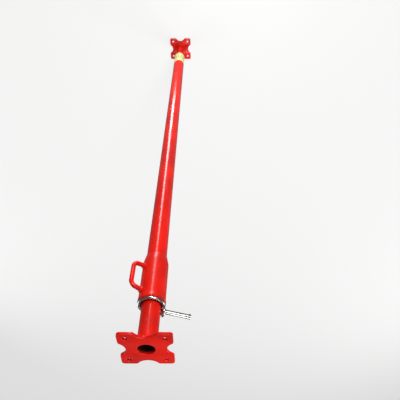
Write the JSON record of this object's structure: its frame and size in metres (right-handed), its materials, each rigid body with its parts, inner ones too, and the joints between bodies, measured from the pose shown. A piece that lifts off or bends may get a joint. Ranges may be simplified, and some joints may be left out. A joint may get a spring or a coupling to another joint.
{
  "type": "adjustable steel prop",
  "caption": "Telescopic steel shoring prop with star end plates, covered adjusting nut with bar handle, sliding inner tube and captive locking pin.",
  "frame": {"origin": "centre of the base plate's drain hole at the plate's underside", "axes": "+Z along the tubes from the base plate to the top plate; the nut's handle stands 35 degrees from -X towards +Y; +Y towards the closed side of the retaining ring"},
  "size_m": [0.1399, 0.108, 1.75],
  "materials": {
    "red_paint": "gloss red enamel on steel",
    "zinc_plate": "bright zinc plating",
    "bare_steel": "bare rolled steel, oiled"
  },
  "bodies": {
    "outer": {"base_plate": "red_paint", "base_weld": "red_paint", "outer_tube": "red_paint"},
    "thread": {"nut_thread": "bare_steel"},
    "nut": {"nut_sleeve": "red_paint", "nut_handle": "red_paint", "upper_handle_weld": "red_paint", "lower_handle_weld": "red_paint"},
    "ring": {"pin_ring": "zinc_plate"},
    "pin": {"lock_pin": "zinc_plate"},
    "inner": {"inner_tube": "red_paint", "top_plate": "red_paint", "top_weld": "red_paint"}
  },
  "joints": [
    {"name": "nut_travel", "type": "slide", "parent": "outer", "child": "thread", "axis": [0, 0, 1], "range_m": [0, 0.088]},
    {"name": "nut_spin", "type": "hinge", "parent": "thread", "child": "nut", "pos_m": [0, 0, 1.579], "axis": [0, 0, 1], "range_deg": [0, 3960]},
    {"name": "ring_turn", "type": "hinge", "parent": "thread", "child": "ring", "pos_m": [0, 0, 1.6471], "axis": [0, 0, 1], "continuous": true},
    {"name": "extension", "type": "slide", "parent": "ring", "child": "inner", "axis": [0, 0, 1], "range_m": [0, 1.2]},
    {"name": "pin_push", "type": "slide", "parent": "ring", "child": "pin", "axis": [-0.9397, 0.342, 0], "range_m": [0, 0.053]}
  ],
  "couplings": [
    {"joint": "nut_travel", "follows": "nut_spin", "m_per_rad": 0.001273}
  ]
}
